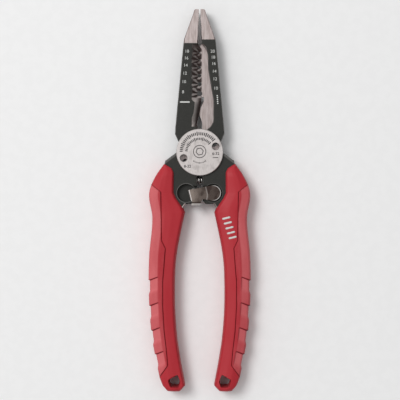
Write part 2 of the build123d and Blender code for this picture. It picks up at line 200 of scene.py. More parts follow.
def smooth_curve(table: Sequence[Pair], where: Array) -> Array:
    """Reads a smooth curve through given points.

    Between two points it is the cubic whose slope at each is that of the line through its two
    neighbours.

    Args:
        table: Pairs of place and value.
        where: Places to read.

    Returns:
        The values at those places.
    """
    places, values = (np.array(part, float) for part in zip(*sorted(table)))
    slopes = np.gradient(values, places)
    index = np.clip(np.searchsorted(places, where) - 1, 0, len(places) - 2)
    width = places[index + 1] - places[index]
    t = np.clip((where - places[index]) / width, 0.0, 1.0)
    return ((2 * t**3 - 3 * t**2 + 1) * values[index]
            + (t**3 - 2 * t**2 + t) * width * slopes[index]
            + (3 * t**2 - 2 * t**3) * values[index + 1]
            + (t**3 - t**2) * width * slopes[index + 1])


def even_points(corners: Array, count: int, closed: bool) -> Array:
    """Points at even steps along the straight lines between corners.

    Args:
        corners: Array of shape (corners, 2).
        count: Number of points.
        closed: Whether a last line runs back to the first corner.

    Returns:
        Array of shape (count, 2).
    """
    path = np.vstack([corners, corners[:1]]) if closed else corners
    length = np.concatenate([[0.0], np.cumsum(np.hypot(*np.diff(path, axis=0).T))])
    at = np.linspace(0.0, length[-1], count, endpoint=not closed)
    return np.column_stack([np.interp(at, length, path[:, k]) for k in (0, 1)])


def smooth_step(value: Array, low: float, high: float) -> Array:
    """0 below low, 1 above high, and 3t^2 - 2t^3 between them, where t goes from 0 to 1."""
    t = np.clip((value - low) / (high - low), 0.0, 1.0)
    return t * t * (3 - 2 * t)


def round_trim(distance: Array, radius: float) -> Array:
    """Drop of a quarter round at a distance d from its end: r - sqrt(r^2 - (r - d)^2)."""
    short = np.clip(radius - distance, 0.0, radius)
    return radius - np.sqrt(radius**2 - short**2)


# ---- Finishes ----
class Graph:
    """A material's node graph, with one Principled shader, measured in millimetres."""

    def __init__(self, name: str) -> None:
        """Makes a graph with a shader, an output, and the place and tilt of the surface.

        Args:
            name: Name of the material.
        """
        self.material = bpy.data.materials.new(name)
        self.material.use_nodes = True
        self.tree = self.material.node_tree
        self.tree.nodes.clear()
        output = self.tree.nodes.new("ShaderNodeOutputMaterial")
        self.shader = self.tree.nodes.new("ShaderNodeBsdfPrincipled")
        self.tree.links.new(self.shader.outputs["BSDF"], output.inputs["Surface"])
        place = self.node("ShaderNodeTexCoord").outputs["Object"]
        scaled = self.node("ShaderNodeVectorMath", {0: place, "Scale": 1.0 / MM}, operation="SCALE")
        self.place = scaled.outputs["Vector"]
        parts = self.node("ShaderNodeSeparateXYZ", {0: self.place})
        self.x, self.y, self.z = parts.outputs
        normal = self.node("ShaderNodeNewGeometry").outputs["Normal"]
        facing = self.node("ShaderNodeSeparateXYZ", {0: normal})
        self.up_the_jaw = facing.outputs["Y"]
        self.flatness = self.maths("ABSOLUTE", facing.outputs["Z"])

    def node(self, kind: str, inputs: dict[Any, Any] | None = None,
             **settings: Any) -> bpy.types.Node:
        """Adds a node.

        Args:
            kind: Blender's name of the node type.
            inputs: Value or socket for each input, by name or number.
            settings: Attributes of the node.

        Returns:
            The new node.
        """
        made = self.tree.nodes.new(kind)
        for key, value in settings.items():
            setattr(made, key, value)
        for key, value in (inputs or {}).items():
            if isinstance(value, Socket):
                self.tree.links.new(value, made.inputs[key])
            else:
                made.inputs[key].default_value = value
        return made

    def maths(self, operation: str, first: Any, second: Any = 0.0) -> Socket:
        """One arithmetic step on one or two numbers."""
        return self.node("ShaderNodeMath", {0: first, 1: second}, operation=operation).outputs[0]

    def times(self, first: Any, second: Any) -> Socket:
        """Product of two numbers."""
        return self.maths("MULTIPLY", first, second)

    def plus(self, first: Any, second: Any) -> Socket:
        """Sum of two numbers."""
        return self.maths("ADD", first, second)

    def minus(self, first: Any, second: Any) -> Socket:
        """First number less the second."""
        return self.maths("SUBTRACT", first, second)

    def larger(self, first: Any, second: Any) -> Socket:
        """Larger of two numbers."""
        return self.maths("MAXIMUM", first, second)

    def noise(self, size: float, stretch: Colour = (1.0, 1.0, 1.0), detail: float = 4.0,
              roughness: float = 0.55) -> Socket:
        """Cloud noise.

        Args:
            size: Size of its largest spots, in millimetres.
            stretch: How many times longer the spots are along X, Y and Z.
            detail: Octaves.
            roughness: Strength of the finer octaves.

        Returns:
            A number from 0 to 1.
        """
        scale = tuple(1.0 / (size * length) for length in stretch)
        mapped = self.node("ShaderNodeMapping", {"Vector": self.place, "Scale": scale})
        made = self.node("ShaderNodeTexNoise", {"Vector": mapped.outputs[0], "Scale": 1.0,
                                                "Detail": detail, "Roughness": roughness})
        return made.outputs["Fac"]

    def spread(self, value: Any, low: float, high: float, to_low: float = 0.0,
               to_high: float = 1.0) -> Socket:
        """Carries a number from one range to another with soft ends.

        Args:
            value: The number.
            low: Where it begins to change.
            high: Where it stops.
            to_low: Result at and below low.
            to_high: Result at and above high.

        Returns:
            The result.
        """
        made = self.node("ShaderNodeMapRange", {"Value": value, "From Min": low, "From Max": high,
                                                "To Min": to_low, "To Max": to_high})
        made.interpolation_type = "SMOOTHSTEP"
        return made.outputs["Result"]

    def within(self, value: Any, low: float, high: float, soft: float = 0.05) -> Socket:
        """Finds where a number lies between two limits.

        Args:
            value: The number.
            low: Lower limit.
            high: Upper limit.
            soft: Half the width of the change at each limit.

        Returns:
            1 between the limits and 0 outside.
        """
        above = self.spread(value, low - soft, low + soft)
        below = self.spread(value, high - soft, high + soft, 1.0, 0.0)
        return self.times(above, below)

    def mix(self, share: Any, first: Any, second: Any) -> Socket:
        """Mixes two colours, each given as a socket or as three numbers.

        Args:
            share: Share of the second colour.
            first: Colour where the share is 0.
            second: Colour where the share is 1.

        Returns:
            The mixed colour.
        """
        made = self.node("ShaderNodeMix", {0: share}, data_type="RGBA")
        for slot, value in ((6, first), (7, second)):
            if isinstance(value, Socket):
                self.tree.links.new(value, made.inputs[slot])
            else:
                made.inputs[slot].default_value = (*value, 1.0)
        return made.outputs[2]

    def blend(self, share: Any, first: Any, second: Any) -> Socket:
        """Mixes two numbers, the share being that of the second."""
        inputs = {0: share, 2: first, 3: second}
        return self.node("ShaderNodeMix", inputs, data_type="FLOAT").outputs[0]

    def from_axis(self, x: Any, centre: Pair) -> Socket:
        """Distance in XY from an axis along Z, with the X coordinate given."""
        across = self.maths("POWER", self.minus(x, centre[0]), 2.0)
        along = self.maths("POWER", self.minus(self.y, centre[1]), 2.0)
        return self.maths("SQRT", self.plus(across, along))

    def set(self, **values: Any) -> None:
        """Sets or links inputs of the shader, given as base_color=..., roughness=..., and so on."""
        for key, value in values.items():
            socket = self.shader.inputs[key.replace("_", " ").title().replace("Ior", "IOR")]
            if isinstance(value, Socket):
                self.tree.links.new(value, socket)
            else:
                socket.default_value = value

    def bump(self, height: Any, depth: float, before: Any = None) -> Socket:
        """A bump of a depth in millimetres, on top of an earlier one if given."""
        inputs = {"Height": height, "Distance": depth * MM, "Strength": 1.0}
        if before is not None:
            inputs["Normal"] = before
        return self.node("ShaderNodeBump", inputs).outputs["Normal"]


@dataclass(frozen=True)
class MouldedPlastic:
    """Moulded grip plastic with a fine leathery grain and faint flow marks.

    Tones above 0 are painted light on the soft strip and take a share of the pale colour; tones
    below 0 are painted shade along steps and take the shade colour.
    """

    name: str
    colour: Colour
    pale: Colour
    roughness: float
    grain: float
    grain_depth: float
    sheen: float
    # Share of the pale colour given by the strip's painted light.
    painted_light_share: float = 0.0
    # Colour of the painted shade along the steps above the rib cuts.
    step_shade_colour: Colour = (0.12, 0.008, 0.012)

    def build(self) -> Material:
        """Makes the material."""
        graph = Graph(self.name)
        flow = graph.noise(9.0, (1.0, 4.0, 1.0), 3.0)
        dust = graph.noise(0.8, detail=6.0, roughness=0.7)
        share = graph.times(graph.spread(flow, 0.35, 0.7), 0.35)
        dust_and_light = graph.plus(share, graph.spread(dust, 0.5, 0.75, 0.0, 0.22))
        # The soft strip's painted light and shade: a pale share on its facet and cuts, and a dark
        # share along the steps above the cuts, added to flow marks and dust.
        shading_tone = graph.node("ShaderNodeAttribute", attribute_name=SHADING_TONE).outputs["Fac"]
        dust_and_light = graph.plus(dust_and_light, graph.times(graph.larger(shading_tone, 0.0), self.painted_light_share))
        line = graph.times(graph.maths("MINIMUM", shading_tone, 0.0), -1.0)
        rubbed = graph.spread(graph.noise(14.0, detail=2.0), 0.45, 0.65, -0.05, 0.05)
        cells = {"Vector": graph.place, "Scale": 1.0 / self.grain}
        grain = graph.node("ShaderNodeTexVoronoi", cells, feature="SMOOTH_F1").outputs["Distance"]
        fine = graph.bump(grain, self.grain_depth)
        plain = graph.mix(dust_and_light, self.colour, self.pale)
        graph.set(base_color=graph.mix(line, plain, self.step_shade_colour),
                  roughness=graph.plus(rubbed, self.roughness),
                  specular_ior_level=0.21, sheen_weight=self.sheen, sheen_roughness=0.45,
                  normal=graph.bump(flow, 0.05, fine))
        return graph.material


@dataclass(frozen=True)
class WorkedSteel:
    """Bare steel with fine working lines, small scratches and slight staining."""

    name: str
    colour: Colour
    stain: Colour
    roughness: float
    lines: Colour = (40.0, 1.0, 1.0)
    line_size: float = 0.12
    line_depth: float = 0.004
    pits: float = 0.0
    metal: float = 1.0

    def build(self) -> Material:
        """Makes the material."""
        graph = Graph(self.name)
        lines = graph.noise(self.line_size, self.lines, 3.0, 0.6)
        cloud = graph.noise(3.5, detail=5.0)
        stained = graph.spread(cloud, 0.45, 0.75, 0.0, 0.55)
        toned = graph.plus(stained, graph.spread(lines, 0.35, 0.7, 0.0, 0.3))
        rough = graph.plus(graph.spread(lines, 0.3, 0.7, -0.06, 0.08), self.roughness)
        worked = graph.bump(lines, self.line_depth)
        if self.pits:
            pits = graph.noise(0.35, detail=2.0)
            worked = graph.bump(pits, self.pits, worked)
        graph.set(base_color=graph.mix(toned, self.colour, self.stain), metallic=self.metal,
                  roughness=rough, normal=worked)
        return graph.material


@dataclass(frozen=True)
class StampedLever:
    """Tumbled steel of the lock lever, with a shallow crease across it, painted highlights on its
    bends, edges, pivot rim and thumb tab, and painted shade.
    """

    name: str
    crease_x: float
    # Pale at the left end, dark where the painted shade is full, bright for the painted highlights.
    pale: Colour = (0.262, 0.216, 0.188)
    dark: Colour = (0.050, 0.035, 0.030)
    bright: Colour = (0.72, 0.69, 0.67)
    crease_wave: Pair = (0.55, 0.5)    # radians per millimetre, millimetres
    tab_y: float = -30.6
    pivot: Pair = (8.1, -24.4)
    end_r: float = 4.6

    def build(self) -> Material:
        """Makes the material. The crease is a soft step in height along a line near X."""
        graph = Graph(self.name)
        wave = graph.maths("SINE", graph.times(graph.y, self.crease_wave[0]))
        place = graph.plus(graph.x, graph.times(wave, self.crease_wave[1]))
        cloud = graph.noise(3.0, (1.0, 1.6, 1.0), 5.0)
        fine = graph.noise(0.5, detail=5.0, roughness=0.7)
        # Painted shade: the plate darkens from its left end towards the crease, and a step more
        # past it, where it sits lower.
        left = graph.spread(place, self.crease_x - 12.0, self.crease_x - 3.0, 0.0, 0.78)
        right = graph.spread(place, self.crease_x - 0.2, self.crease_x + 0.9, 0.0, 0.22)
        shade = graph.plus(graph.plus(left, right), graph.spread(cloud, 0.4, 0.7, -0.15, 0.2))
        base = graph.mix(shade, self.pale, self.dark)
        # Painted highlights on the crease, on tilted faces, and on the rim round the pivot end,
        # stronger on its right side.
        crease_highlight = graph.within(place, self.crease_x - 0.35, self.crease_x + 0.15, 0.25)
        tilt_highlight = graph.within(graph.flatness, 0.10, 0.985, 0.01)
        edge = graph.larger(tilt_highlight, graph.times(crease_highlight, 0.22))
        rim_highlight = graph.from_axis(graph.x, self.pivot)
        rim_highlight = graph.within(rim_highlight, self.end_r - 0.35, self.end_r + 0.2, 0.12)
        lit = graph.spread(graph.x, self.pivot[0] - 1.5, self.pivot[0] + 2.5, 0.0, 0.75)
        edge = graph.larger(edge, graph.times(rim_highlight, lit))
        # Painted highlight on the thumb tab, and painted shade in a band at its foot.
        tab_highlight = graph.spread(graph.y, self.tab_y - 0.1, self.tab_y + 0.1, 0.45, 0.0)
        base = graph.mix(graph.larger(edge, tab_highlight), base, self.bright)
        tab_foot_shade = graph.within(graph.y, self.tab_y, self.tab_y + 0.8, 0.15)
        base = graph.mix(graph.times(tab_foot_shade, 0.9), base, self.dark)
        step = graph.bump(graph.spread(place, self.crease_x - 0.9, self.crease_x + 0.9), 0.06)
        rough = graph.spread(fine, 0.3, 0.7, 0.26, 0.40)
        graph.set(base_color=base, metallic=0.9, roughness=rough,
                  normal=graph.bump(fine, 0.01, step))
        return graph.material


@dataclass(frozen=True)
class CoatedForging:
    """Black oxide on a forging, with the nose, blades and lapped face ground back to steel, and
    with painted highlights, shade and reflections.
    """

    name: str
    nose_y: float
    mid_z: float
    coat: Colour = (0.022, 0.022, 0.019)
    # Colour of real wear on specks and edges, and of painted highlights on chamfers, shoulders and
    # the pocket rim.
    wear_and_highlight: Colour = (0.26, 0.25, 0.24)
    steel: Colour = (0.465, 0.405, 0.395)
    dark_steel: Colour = (0.215, 0.165, 0.15)
    # Lit and shaded steel for the painted light of the bevels; the lit steel also paints the corner
    # highlights.
    lit_steel: Colour = (0.66, 0.60, 0.575)
    shaded_steel: Colour = (0.030, 0.020, 0.018)
    # Colour of the painted brown reflections on the bevels and of the painted shade along the
    # nose's edge.
    reflection_and_shade_colour: Colour = (0.085, 0.045, 0.042)
    # Places of the painted highlights: the lock pocket's rim, the shoulder chamfers and the tangs'
    # lower corners.
    pocket: Pair = (8.1, -24.4)
    pocket_r: float = 5.6
    shoulder_slopes: Pair = (0.598, 0.802)
    shoulder_band: Pair = (6.9, 9.0)
    shoulder_y: Pair = (-7.5, 0.5)
    corner_slope: float = 0.73
    corner_edge: float = -13.75
    corner_y: Pair = (-33.6, -30.6)
    # Line of the nose's outer edge, where painted shade lies.
    nose_slope: float = 0.3615
    nose_edge: float = 34.0
    blade_y: Pair = (13.6, 65.0)
    blade_x: float = 4.75
    blade_edge_x: float = 1.9
    cutter_top_y: float = 33.0
    cutter_slope: float = 0.16
    cutter_x: float = 4.1
    # How fast the cones' painted light changes with the way they face.
    facet_turns: float = 12.0

    def bevel_light_and_shade(self, graph: Graph) -> Socket:
        """Painted light and shade of the bevels.

        The cutter's bevel is painted lit at its back and shaded at its edge. The coned notches are
        painted lit and shaded by the way each part faces, as their ridges would catch the light,
        and less lit towards the nose.

        Args:
            graph: Graph of the forging's material.

        Returns:
            The colour.
        """
        edge = graph.minus(graph.times(graph.y, self.cutter_slope), self.cutter_x)
        depth = graph.spread(graph.minus(graph.x, edge), -3.5, -0.8)
        cutter = graph.mix(depth, self.lit_steel, self.shaded_steel)
        cone_light = graph.maths("SINE", graph.times(graph.up_the_jaw, self.facet_turns))
        cone_light = graph.spread(cone_light, -0.4, 1.0)
        lit = graph.times(cone_light, graph.spread(graph.y, 35.0, 60.0, 1.0, 0.55))
        cones = graph.mix(lit, self.shaded_steel, self.lit_steel)
        above = graph.spread(graph.y, self.cutter_top_y - 0.4, self.cutter_top_y + 0.4)
        return graph.mix(above, cutter, cones)

    def build(self) -> Material:
        """Makes the material. What is ground is found from the place and tilt of the surface."""
        graph = Graph(self.name)
        across = graph.maths("ABSOLUTE", graph.x)
        nose = graph.spread(graph.y, self.nose_y - 0.08, self.nose_y + 0.08)
        lap = graph.within(graph.z, self.mid_z - 0.25, self.mid_z + 0.25)
        jaw = graph.within(graph.y, *self.blade_y)
        oblique = graph.within(graph.flatness, 0.12, 0.96, 0.02)
        ragged = graph.spread(graph.noise(1.1, detail=3.0), 0.35, 0.65, -0.3, 0.9)
        notched = graph.spread(graph.y, self.cutter_top_y, self.cutter_top_y + 3.0)
        ragged = graph.plus(across, graph.times(ragged, notched))
        bevel = graph.times(oblique, graph.within(ragged, -1.0, self.blade_x, 0.2))
        bevel = graph.times(bevel, jaw)
        edge = graph.within(across, -1.0, self.blade_edge_x)
        blade = graph.times(jaw, graph.larger(bevel, edge))
        ground = graph.larger(graph.larger(nose, lap), blade)

        cloud = graph.noise(2.2, detail=6.0, roughness=0.65)
        speck = graph.noise(0.45, detail=3.0)
        # Oblique faces are lightened: real rubbed wear on the edges, and painted highlight on the
        # chamfers.
        rubbed = graph.times(oblique, graph.spread(cloud, 0.35, 0.7, 0.35, 1.0))
        coat = graph.mix(graph.spread(speck, 0.55, 0.8, 0.0, 0.12), self.coat, self.wear_and_highlight)
        coat = graph.mix(graph.times(rubbed, 0.55), coat, self.wear_and_highlight)

        lines = graph.noise(0.22, (1.0, 30.0, 1.0), 4.0, 0.65)
        # Painted reflection: brown patches on the bevels, stronger towards the nose.
        reflection_and_shade = graph.spread(graph.noise(1.3, (1.6, 1.0, 1.0), 4.0), 0.35, 0.7, 0.0, 0.7)
        reflection_and_shade = graph.times(reflection_and_shade, graph.spread(graph.y, 34.0, 60.0, 0.35, 1.0))
        reflection_and_shade = graph.times(reflection_and_shade, bevel)
        # Painted shade along the nose's outer edge and on its oblique faces.
        outline = graph.plus(across, graph.times(graph.y, self.nose_slope))
        outline = graph.spread(outline, self.nose_edge - 0.5, self.nose_edge)
        outline = graph.larger(oblique, outline)
        nose_edge_shade = graph.times(outline, graph.times(nose, 0.8))
        reflection_and_shade = graph.larger(reflection_and_shade, nose_edge_shade)
        streaks = graph.spread(graph.noise(0.8, (1.0, 9.0, 1.0), 3.0), 0.35, 0.68, 0.0, 0.42)
        toned = graph.plus(streaks, graph.spread(lines, 0.35, 0.68, 0.0, 0.25))
        steel = graph.mix(toned, self.steel, self.dark_steel)
        # The bevels take their painted light and shade.
        steel = graph.mix(graph.times(bevel, 0.9), steel, self.bevel_light_and_shade(graph))
        steel = graph.mix(reflection_and_shade, steel, self.reflection_and_shade_colour)

        # Painted highlight on the chamfers of the shoulders.
        shoulder_highlight = graph.plus(graph.times(across, self.shoulder_slopes[0]),
                              graph.times(graph.y, self.shoulder_slopes[1]))
        shoulder_highlight = graph.times(graph.within(shoulder_highlight, *self.shoulder_band, 0.2),
                               graph.within(graph.y, *self.shoulder_y))
        coat = graph.mix(graph.times(shoulder_highlight, 0.30), coat, self.wear_and_highlight)
        # Painted highlight round the lock pocket's rim, stronger on one side.
        rim_highlight = graph.from_axis(across, self.pocket)
        rim_highlight = graph.within(rim_highlight, self.pocket_r - 0.1, self.pocket_r + 0.3, 0.1)
        lit = graph.spread(graph.x, self.pocket[0], 1.0 - self.pocket[0], 0.15, 0.40)
        coat = graph.mix(graph.times(rim_highlight, lit), coat, self.wear_and_highlight)
        # Painted highlight on the bevels of the tangs' lower corners, stronger on the left.
        corner = graph.plus(across, graph.times(graph.y, self.corner_slope))
        corner = graph.within(corner, self.corner_edge - 0.3, self.corner_edge + 0.45, 0.12)
        corner = graph.times(corner, graph.within(graph.y, *self.corner_y, 0.2))
        corner = graph.times(corner, graph.spread(graph.x, -1.0, 1.0, 1.0, 0.35))
        coat = graph.mix(corner, coat, self.lit_steel)
        coat_rough = graph.spread(cloud, 0.3, 0.7, 0.42, 0.56)
        steel_rough = graph.spread(lines, 0.3, 0.7, 0.27, 0.40)
        skin = graph.bump(graph.times(speck, graph.minus(1.0, ground)), 0.03)
        cut = graph.bump(graph.times(lines, ground), 0.006, skin)
        colour = graph.mix(ground, coat, steel)
        coat_metal = graph.spread(rubbed, 0.0, 1.0, 0.2, 0.7)
        steel_metal = graph.spread(bevel, 0.0, 1.0, 1.0, 0.45)
        graph.set(base_color=colour, metallic=graph.blend(ground, coat_metal, steel_metal),
                  specular_ior_level=0.28,
                  roughness=graph.blend(ground, coat_rough, steel_rough), normal=cut)
        return graph.material


@dataclass(frozen=True)
class PrintInk:
    """Pad-printed ink, slightly broken where it is thin."""

    name: str
    colour: Colour
    thin: Colour
    roughness: float = 0.55

    def build(self) -> Material:
        """Makes the material."""
        graph = Graph(self.name)
        broken = graph.spread(graph.noise(0.3, detail=5.0), 0.5, 0.75, 0.0, 0.5)
        graph.set(base_color=graph.mix(broken, self.colour, self.thin), roughness=self.roughness,
                  normal=graph.bump(broken, 0.004))
        return graph.material


@dataclass(frozen=True)
class StudioFloor:
    """Pale seamless paper."""

    name: str = "studio_floor"
    colour: Colour = (0.88, 0.88, 0.88)

    def build(self) -> Material:
        """Makes the material."""
        graph = Graph(self.name)
        fibre = graph.noise(6.0, detail=2.0)
        tint = tuple(part * 0.985 for part in self.colour)
        graph.set(base_color=graph.mix(graph.spread(fibre, 0.4, 0.6), self.colour, tint),
                  roughness=0.85, specular_ior_level=0.2)
        return graph.material


# ---- Grips ----
INNER_EDGE = [(-6.8, 21.3), (-9.5, 16.6), (-12.0, 15.4), (-24.4, 15.4), (-27.6, 13.9),
              (-32.9, 10.2), (-36.0, 8.8), (-46.6, 11.1), (-61.0, 13.8), (-86.0, 15.0),
              (-112.0, 13.5), (-132.0, 10.3), (-140.0, 8.7), (-143.4, 11.7)]
OUTER_EDGE = [(-6.8, 21.3), (-13.0, 25.8), (-22.6, 30.1), (-39.5, 28.5), (-62.0, 30.4),
              (-86.0, 30.6), (-112.0, 28.6), (-135.2, 24.2), (-140.0, 22.3), (-143.4, 19.4)]
SPLIT_LINE = [(-18.6, 29.7), (-23.8, 22.9), (-52.8, 22.5), (-57.5, 20.2), (-67.0, 20.9),
              (-78.0, 21.8), (-92.0, 21.8), (-107.0, 20.9), (-120.0, 19.4), (-127.6, 18.8),
              (-135.0, 24.0)]
LANYARD_CORNERS = [(13.3, -133.2), (11.6, -137.3), (12.8, -140.8), (17.4, -140.6), (18.9, -136.6)]
# The stretches of both edges that are smooth curves. Elsewhere they are straight lines.
INNER_CURVE = INNER_EDGE[6:13]
OUTER_CURVE = OUTER_EDGE[:8]
# Front half of a section: share of the width from the inner edge, share of half the thickness.
SECTION = [(0.0, 0.0), (0.0, 0.46), (0.03, 0.70), (0.09, 0.89), (0.40, 1.0), (0.62, 1.0),
           (0.93, 0.80), (0.985, 0.60), (1.0, 0.38), (1.0, 0.0)]


@dataclass
class GripSurface:
    """The outer surface of a right-hand grip, as sections of a fixed profile along Y."""

    half_thick: float
    top_y: float
    bottom_y: float
    end_round: float = 2.6
    tip_round: float = 1.2
    tip_slope: Pair = (1.8, 8.0)    # drop at the tip, and the length over which it fades
    section_points: int = 240
    smoothing: int = 7
    profile: Array = field(init=False)

    def __post_init__(self) -> None:
        """Rounds the section's corners: each point becomes the mean of its neighbours, twice."""
        dense = even_points(np.array(SECTION), self.section_points, closed=False)
        kernel = np.ones(self.smoothing) / self.smoothing
        reach = self.smoothing // 2
        for _ in range(2):
            inner = np.column_stack([np.convolve(dense[:, k], kernel, "valid") for k in (0, 1)])
            dense[reach:-reach] = inner
        self.profile = dense

    def edges(self, y: Array) -> tuple[Array, Array]:
        """X of the inner and the outer edge at given Y."""
        found = []
        for corners, curve in ((INNER_EDGE, INNER_CURVE), (OUTER_EDGE, OUTER_CURVE)):
            straight = (y > curve[0][0]) | (y < curve[-1][0])
            lines = np.interp(y, *self._table(corners))
            found.append(np.where(straight, lines, smooth_curve(curve, y)))
        return found[0], found[1]

    @staticmethod
    def _table(points: Sequence[Pair]) -> tuple[Array, Array]:
        """Places and values of a table in rising order of place."""
        places, values = zip(*sorted(points))
        return np.array(places), np.array(values)

    def thickness(self, y: Array) -> Array:
        """Half the thickness at given Y, rounded off at both ends."""
        apex = self.tip_slope[0] * (1.0 - smooth_step(self.top_y - y, 0.0, self.tip_slope[1]))
        end = round_trim(y - self.bottom_y, self.end_round)
        tip = round_trim(self.top_y - y, self.tip_round)
        return self.half_thick - apex - end - tip

    def split(self, y: Array) -> Array:
        """X of the line where the soft strip begins, or of the outer edge where there is none."""
        inner, outer = self.edges(y)
        line = np.interp(y, *self._table(SPLIT_LINE))
        beyond = (y > SPLIT_LINE[0][0]) | (y < SPLIT_LINE[-1][0])
        return np.where(beyond, outer, np.minimum(line, outer))

    def along(self, share: Array) -> tuple[Array, Array]:
        """Width and height shares at a share of the section's length."""
        at = np.linspace(0.0, 1.0, self.section_points)
        return np.interp(share, at, self.profile[:, 0]), np.interp(share, at, self.profile[:, 1])

    def share_at(self, width_share: Array) -> Array:
        """Share of the section's length where the width share has a value."""
        at = np.linspace(0.0, 1.0, self.section_points)
        return np.interp(width_share, self.profile[:, 0] + at * 1e-6, at)

    def share_of(self, x: Array, y: Array) -> Array:
        """Share of the section's length where the front surface has a given X."""
        inner, outer = self.edges(y)
        return self.share_at((x - inner) / (outer - inner))

    def front(self, y: Array, share: Array) -> tuple[Array, Array]:
        """X and Z of the front surface at given Y and shares of the section's length."""
        inner, outer = self.edges(y)
        across, rise = self.along(share)
        return inner + across * (outer - inner), rise * self.thickness(y)


@dataclass
class Grip:
    """One grip: a hard core with a lanyard hole, and a soft ribbed strip on its outer side."""

    side: Side
    body: Body
    core_finish: Material
    strip_finish: Material
    groove_width: float = 0.45
    groove_depth: float = 1.2
    tongue_share: float = 0.7
    tongue_drop: float = 1.8
    tongue_gap: float = 0.3
    columns: int = 100
    rib_depth: float = 0.8
    rib_slant: float = 0.38
    rib_width: float = 5.5
    rib_tops: tuple[float, ...] = (-76.8, -92.1, -107.0, -121.2)
    rib_length: float = 7.5
    # Shares of painted highlight on the strip's outer facet, above the ribs and on the lands
    # between them.
    facet_highlight: float = 0.8
    land_highlight: float = 0.5
    flare: Pair = (1.6, 0.8)    # depth and width of the lanyard hole's round at each face
    sharp_angle: float = 35.0
    mid_z: float = field(init=False)
    surface: GripSurface = field(init=False)

    def __post_init__(self) -> None:
        """Takes the grip's ends and thickness from the frame."""
        low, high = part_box(self.node("core"))
        thick = (high.z - low.z) / MM
        self.mid_z = (low.z + high.z) / 2 / MM
        self.surface = GripSurface(thick / 2, high.y / MM, low.y / MM)

    def node(self, part: str) -> str:
        """Name of one of this grip's CAD nodes."""
        return f"{self.side.name.lower()}_grip_{part}"

    def place(self, x: Array, y: Array, z: Array) -> Array:
        """Puts points of a right-hand grip, in millimetres, on this grip's side."""
        return np.stack([x * self.side.value, y + 0 * x, z + self.mid_z], axis=-1).reshape(-1, 3)

    def core(self) -> Piece:
        """Makes the hard core.

        Each ring runs over the section's front from the inner edge to the split line, steps down
        into the groove, crosses the tongue under the strip and comes back the same way behind.

        Returns:
            The core, without its lanyard hole.
        """
        s = self.surface
        y = np.union1d(np.linspace(s.bottom_y, s.top_y, 380), [p for p, _ in SPLIT_LINE])
        y = y[(y >= s.bottom_y) & (y <= s.top_y - 0.02)][:, None]
        _, outer = s.edges(y)
        split = s.split(y)
        steps = np.linspace(0.0, 1.0, self.columns)[None, :]
        x, z = s.front(y, np.minimum(steps, s.share_of(split, y)))
        fade = smooth_step(outer - split, 0.0, 1.0)
        step_z = z[:, -1:] - self.groove_depth * fade
        tongue_x = split + (outer - split) * self.tongue_share
        front_x = np.hstack([x, split + 0.02 * fade, tongue_x])
        front_z = np.hstack([z, step_z, step_z - self.tongue_drop * fade])
        ring_x = np.hstack([front_x, front_x[:, :0:-1]])
        ring_z = np.hstack([front_z, -front_z[:, :0:-1]])
        points = self.place(ring_x, y, ring_z)
        return mesh_object(self.node("core_moulding"), points, tube_faces(*ring_x.shape))

    def rib_cut(self, inward: Array, y: Array) -> tuple[Array, Array]:
        """Finds the cuts between the ribs.

        A cut begins sharply at a slanted line and runs out in a ramp at its lower end. It reaches
        from the outer edge to the rib width.

        Args:
            inward: Distance of each point of the strip from the outer edge.
            y: Y of each ring of the strip.

        Returns:
            Share of the rib depth that is cut at each point, and how near the point is to the
            line above a cut, from 0 to 1.
        """
        level = y - self.rib_slant * inward
        cut = np.zeros_like(level)
        lines = np.zeros_like(level)
        for top in self.rib_tops:
            begins = 1.0 - smooth_step(level, top - 0.25, top + 0.05)
            ends = smooth_step(level, top - self.rib_length - 1.6, top - self.rib_length + 1.6)
            cut = np.maximum(cut, begins * ends)
            lines = np.maximum(lines, 1.0 - smooth_step(np.abs(level - top), 0.15, 0.5))
        reach = 1.0 - smooth_step(inward, self.rib_width - 0.2, self.rib_width + 0.5)
        return cut * reach, lines * reach

    def shading_tone(self, inward: Array, y: Array, cut: Array, lines: Array) -> Array:
        """Painted light and shade of the strip: a painted highlight on its outer facet, palest in
        the cuts, and painted shade along their tops.

        Args:
            inward: Distance of each point from the outer edge.
            y: Y of each ring.
            cut: Share of the rib depth that is cut.
            lines: Nearness to the line above a cut.

        Returns:
            The painted light and shade of each point.
        """
        facet = 1.0 - smooth_step(inward, self.rib_width - 0.3, self.rib_width + 0.3)
        above = smooth_step(y, self.rib_tops[0] - 8.0, self.rib_tops[0] + 3.0)
        plain = self.land_highlight + (self.facet_highlight - self.land_highlight) * above
        pale = facet * plain + (1.0 - self.land_highlight) * cut
        return pale * (1.0 - lines) - lines

    def strip(self) -> Piece:
        """Makes the soft strip: a ring over the outer side and back under itself, along Y.

        Returns:
            The strip.
        """
        s = self.surface
        top, bottom = SPLIT_LINE[0][0] - 0.25, SPLIT_LINE[-1][0] + 0.25
        y = np.union1d(np.linspace(bottom, top, 460), [p for p, _ in SPLIT_LINE[1:-1]])[:, None]
        _, outer = s.edges(y)
        split = np.minimum(s.split(y) + self.groove_width, outer - 0.05)
        start = s.share_of(split, y)
        steps = np.linspace(0.0, 1.0, self.columns)[None, :]
        steps = steps[:, steps[0] >= start.min() - 0.02]
        x, z = s.front(y, np.maximum(steps, start))
        inward = outer - x
        cut, lines = self.rib_cut(inward, y)
